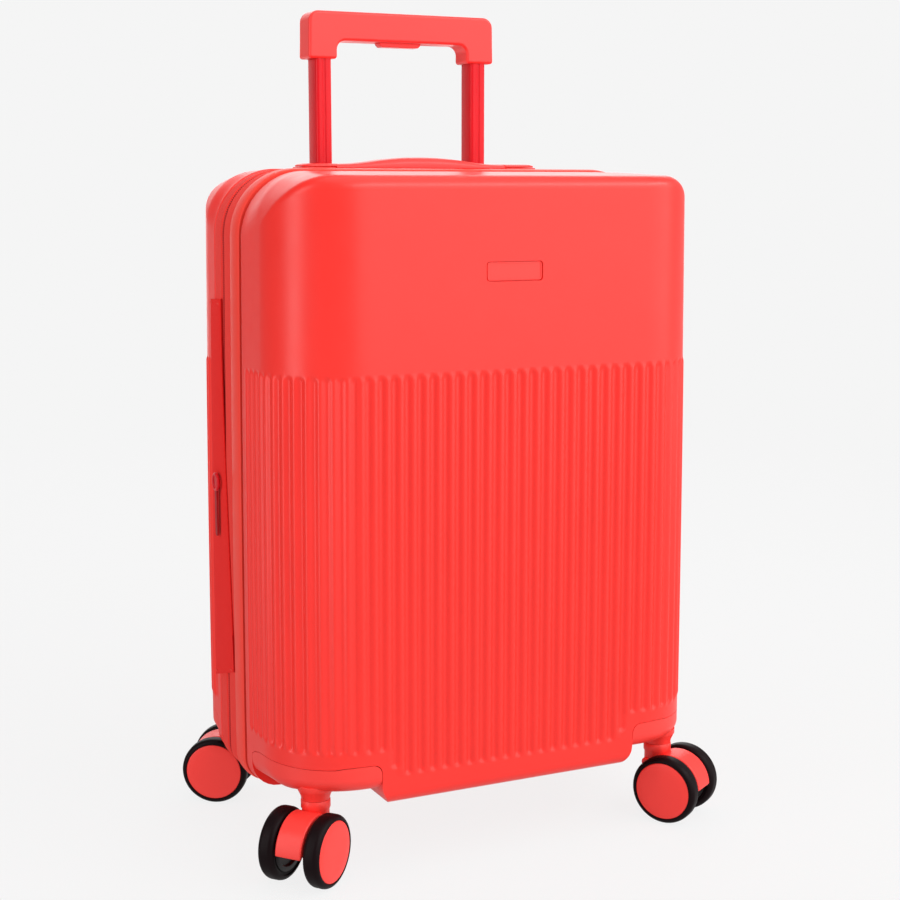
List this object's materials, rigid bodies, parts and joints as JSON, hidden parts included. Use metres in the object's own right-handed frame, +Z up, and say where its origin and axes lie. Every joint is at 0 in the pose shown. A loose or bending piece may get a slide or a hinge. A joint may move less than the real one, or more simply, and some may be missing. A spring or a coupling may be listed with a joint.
{
  "type": "hard shell suitcase",
  "caption": "Upright hard shell cabin suitcase: fluted lid and case joined by a zip, pull-out trolley handle, top carry strap and swivelling twin wheels.",
  "frame": {"origin": "on the floor under the middle of the standing case, trolley handle and wheels included", "axes": "+Z up, -Y towards the front (lid) face, +Y towards the back (trolley) face, +X to the right seen from the front; the lid hinges on the left side"},
  "size_m": [0.4, 0.2759, 0.653],
  "materials": {
    "coral_shell": "satin moulded plastic",
    "coral_trim": "satin rubber-like trim",
    "coral_tape": "woven tape",
    "coral_anodised": "painted drawn metal, satin",
    "coral_plastic": "smooth moulded plastic",
    "black_rubber": "smooth rubber",
    "lock_black": "matt moulded plastic",
    "axle_steel": "bare steel pin",
    "grey_lining": "plain woven lining",
    "lock_plastic": "matt moulded plastic"
  },
  "bodies": {
    "case": {"rear_shell": "coral_shell", "rear_zip_band": "coral_tape", "hinge_strip_case": "coral_tape", "trolley_bezel": "coral_plastic", "outer_tube_left": "coral_anodised", "outer_tube_right": "coral_anodised", "handle_cap_left": "coral_plastic", "handle_cap_right": "coral_plastic", "rear_lining": "grey_lining", "packing_strap": "coral_tape", "lock_body": "lock_plastic", "caster_housing_rear_left": "coral_plastic", "caster_housing_rear_right": "coral_plastic"},
    "lid": {"front_shell": "coral_shell", "front_trim": "coral_trim", "front_zip_band": "coral_tape", "hinge_strip_lid": "coral_tape", "name_plate": "coral_plastic", "front_lining": "grey_lining", "caster_housing_front_left": "coral_plastic", "caster_housing_front_right": "coral_plastic"},
    "trolley_mid": {"mid_tube_left": "coral_anodised", "mid_tube_right": "coral_anodised"},
    "trolley_upper": {"inner_tube_left": "coral_anodised", "inner_tube_right": "coral_anodised", "trolley_grip": "coral_plastic"},
    "grip_button": {"grip_button": "coral_plastic"},
    "carry_strap": {"carry_strap": "coral_plastic"},
    "zip_slider_upper": {"zip_slider_upper": "coral_anodised"},
    "zip_slider_lower": {"zip_slider_lower": "coral_anodised"},
    "expansion_slider": {"expansion_slider": "coral_anodised"},
    "lock_dial_1": {"lock_dial_1": "lock_black"},
    "lock_dial_2": {"lock_dial_2": "lock_black"},
    "lock_dial_3": {"lock_dial_3": "lock_black"},
    "lock_release": {"lock_release": "lock_black"},
    "caster_front_left": {"fork_front_left": "coral_plastic", "axle_front_left": "axle_steel"},
    "wheel_front_left_a": {"tyre_front_left_a": "black_rubber", "hub_front_left_a": "coral_plastic"},
    "wheel_front_left_b": {"tyre_front_left_b": "black_rubber", "hub_front_left_b": "coral_plastic"},
    "caster_front_right": {"fork_front_right": "coral_plastic", "axle_front_right": "axle_steel"},
    "wheel_front_right_a": {"tyre_front_right_a": "black_rubber", "hub_front_right_a": "coral_plastic"},
    "wheel_front_right_b": {"tyre_front_right_b": "black_rubber", "hub_front_right_b": "coral_plastic"},
    "caster_rear_left": {"fork_rear_left": "coral_plastic", "axle_rear_left": "axle_steel"},
    "wheel_rear_left_a": {"tyre_rear_left_a": "black_rubber", "hub_rear_left_a": "coral_plastic"},
    "wheel_rear_left_b": {"tyre_rear_left_b": "black_rubber", "hub_rear_left_b": "coral_plastic"},
    "caster_rear_right": {"fork_rear_right": "coral_plastic", "axle_rear_right": "axle_steel"},
    "wheel_rear_right_a": {"tyre_rear_right_a": "black_rubber", "hub_rear_right_a": "coral_plastic"},
    "wheel_rear_right_b": {"tyre_rear_right_b": "black_rubber", "hub_rear_right_b": "coral_plastic"}
  },
  "joints": [
    {"name": "lid_hinge", "type": "hinge", "parent": "case", "child": "lid", "pos_m": [-0.1832, 0.0298, 0.3], "axis": [0, 0, -1], "range_deg": [0, 155]},
    {"name": "trolley_mid_slide", "type": "slide", "parent": "case", "child": "trolley_mid", "axis": [0, 0, 1], "range_m": [0, 0.23]},
    {"name": "trolley_upper_slide", "type": "slide", "parent": "trolley_mid", "child": "trolley_upper", "axis": [0, 0, 1], "range_m": [-0.08, 0.17]},
    {"name": "grip_button_press", "type": "slide", "parent": "trolley_upper", "child": "grip_button", "axis": [0, 0, 1], "range_m": [0, 0.004], "stiffness_N_per_m": 300},
    {"name": "carry_strap_lift", "type": "slide", "parent": "case", "child": "carry_strap", "axis": [0, 0, 1], "range_m": [0, 0.012], "stiffness_N_per_m": 400},
    {"name": "zip_slider_upper_slide", "type": "slide", "parent": "case", "child": "zip_slider_upper", "axis": [0, 0, 1], "range_m": [0, 0.12]},
    {"name": "zip_slider_lower_slide", "type": "slide", "parent": "case", "child": "zip_slider_lower", "axis": [0, 0, 1], "range_m": [-0.12, 0]},
    {"name": "expansion_slider_slide", "type": "slide", "parent": "case", "child": "expansion_slider", "axis": [0, 0, 1], "range_m": [-0.1, 0.12]},
    {"name": "lock_release_slide", "type": "slide", "parent": "case", "child": "lock_release", "axis": [0, 0, 1], "range_m": [0, 0.004], "stiffness_N_per_m": 200},
    {"name": "lock_dial_1_turn", "type": "hinge", "parent": "case", "child": "lock_dial_1", "pos_m": [0.1845, 0.041, 0.276], "axis": [0, 0, 1], "continuous": true},
    {"name": "lock_dial_2_turn", "type": "hinge", "parent": "case", "child": "lock_dial_2", "pos_m": [0.1845, 0.041, 0.284], "axis": [0, 0, 1], "continuous": true},
    {"name": "lock_dial_3_turn", "type": "hinge", "parent": "case", "child": "lock_dial_3", "pos_m": [0.1845, 0.041, 0.292], "axis": [0, 0, 1], "continuous": true},
    {"name": "caster_front_left_swivel", "type": "hinge", "parent": "lid", "child": "caster_front_left", "pos_m": [-0.15035, -0.0884, 0.06], "axis": [0, 0, 1], "continuous": true},
    {"name": "wheel_front_left_a_spin", "type": "hinge", "parent": "caster_front_left", "child": "wheel_front_left_a", "pos_m": [-0.17547, -0.08468, 0.0275], "axis": [-0.6409, 0.7676, 0], "continuous": true},
    {"name": "wheel_front_left_b_spin", "type": "hinge", "parent": "caster_front_left", "child": "wheel_front_left_b", "pos_m": [-0.15118, -0.11378, 0.0275], "axis": [-0.6409, 0.7676, 0], "continuous": true},
    {"name": "caster_front_right_swivel", "type": "hinge", "parent": "lid", "child": "caster_front_right", "pos_m": [0.15035, -0.0884, 0.06], "axis": [0, 0, 1], "continuous": true},
    {"name": "wheel_front_right_a_spin", "type": "hinge", "parent": "caster_front_right", "child": "wheel_front_right_a", "pos_m": [0.14351, -0.11285, 0.0275], "axis": [-0.8421, -0.5394, 0], "continuous": true},
    {"name": "wheel_front_right_b_spin", "type": "hinge", "parent": "caster_front_right", "child": "wheel_front_right_b", "pos_m": [0.17542, -0.09241, 0.0275], "axis": [-0.8421, -0.5394, 0], "continuous": true},
    {"name": "caster_rear_left_swivel", "type": "hinge", "parent": "case", "child": "caster_rear_left", "pos_m": [-0.15035, 0.0942, 0.06], "axis": [0, 0, 1], "continuous": true},
    {"name": "wheel_rear_left_a_spin", "type": "hinge", "parent": "caster_rear_left", "child": "wheel_rear_left_a", "pos_m": [-0.15465, 0.11922, 0.0275], "axis": [0.5295, 0.8483, 0], "continuous": true},
    {"name": "wheel_rear_left_b_spin", "type": "hinge", "parent": "caster_rear_left", "child": "wheel_rear_left_b", "pos_m": [-0.17472, 0.08707, 0.0275], "axis": [0.5295, 0.8483, 0], "continuous": true},
    {"name": "caster_rear_right_swivel", "type": "hinge", "parent": "case", "child": "caster_rear_right", "pos_m": [0.15035, 0.0942, 0.06], "axis": [0, 0, 1], "continuous": true},
    {"name": "wheel_rear_right_a_spin", "type": "hinge", "parent": "caster_rear_right", "child": "wheel_rear_right_a", "pos_m": [0.17472, 0.08707, 0.0275], "axis": [0.5295, -0.8483, 0], "continuous": true},
    {"name": "wheel_rear_right_b_spin", "type": "hinge", "parent": "caster_rear_right", "child": "wheel_rear_right_b", "pos_m": [0.15465, 0.11922, 0.0275], "axis": [0.5295, -0.8483, 0], "continuous": true}
  ]
}
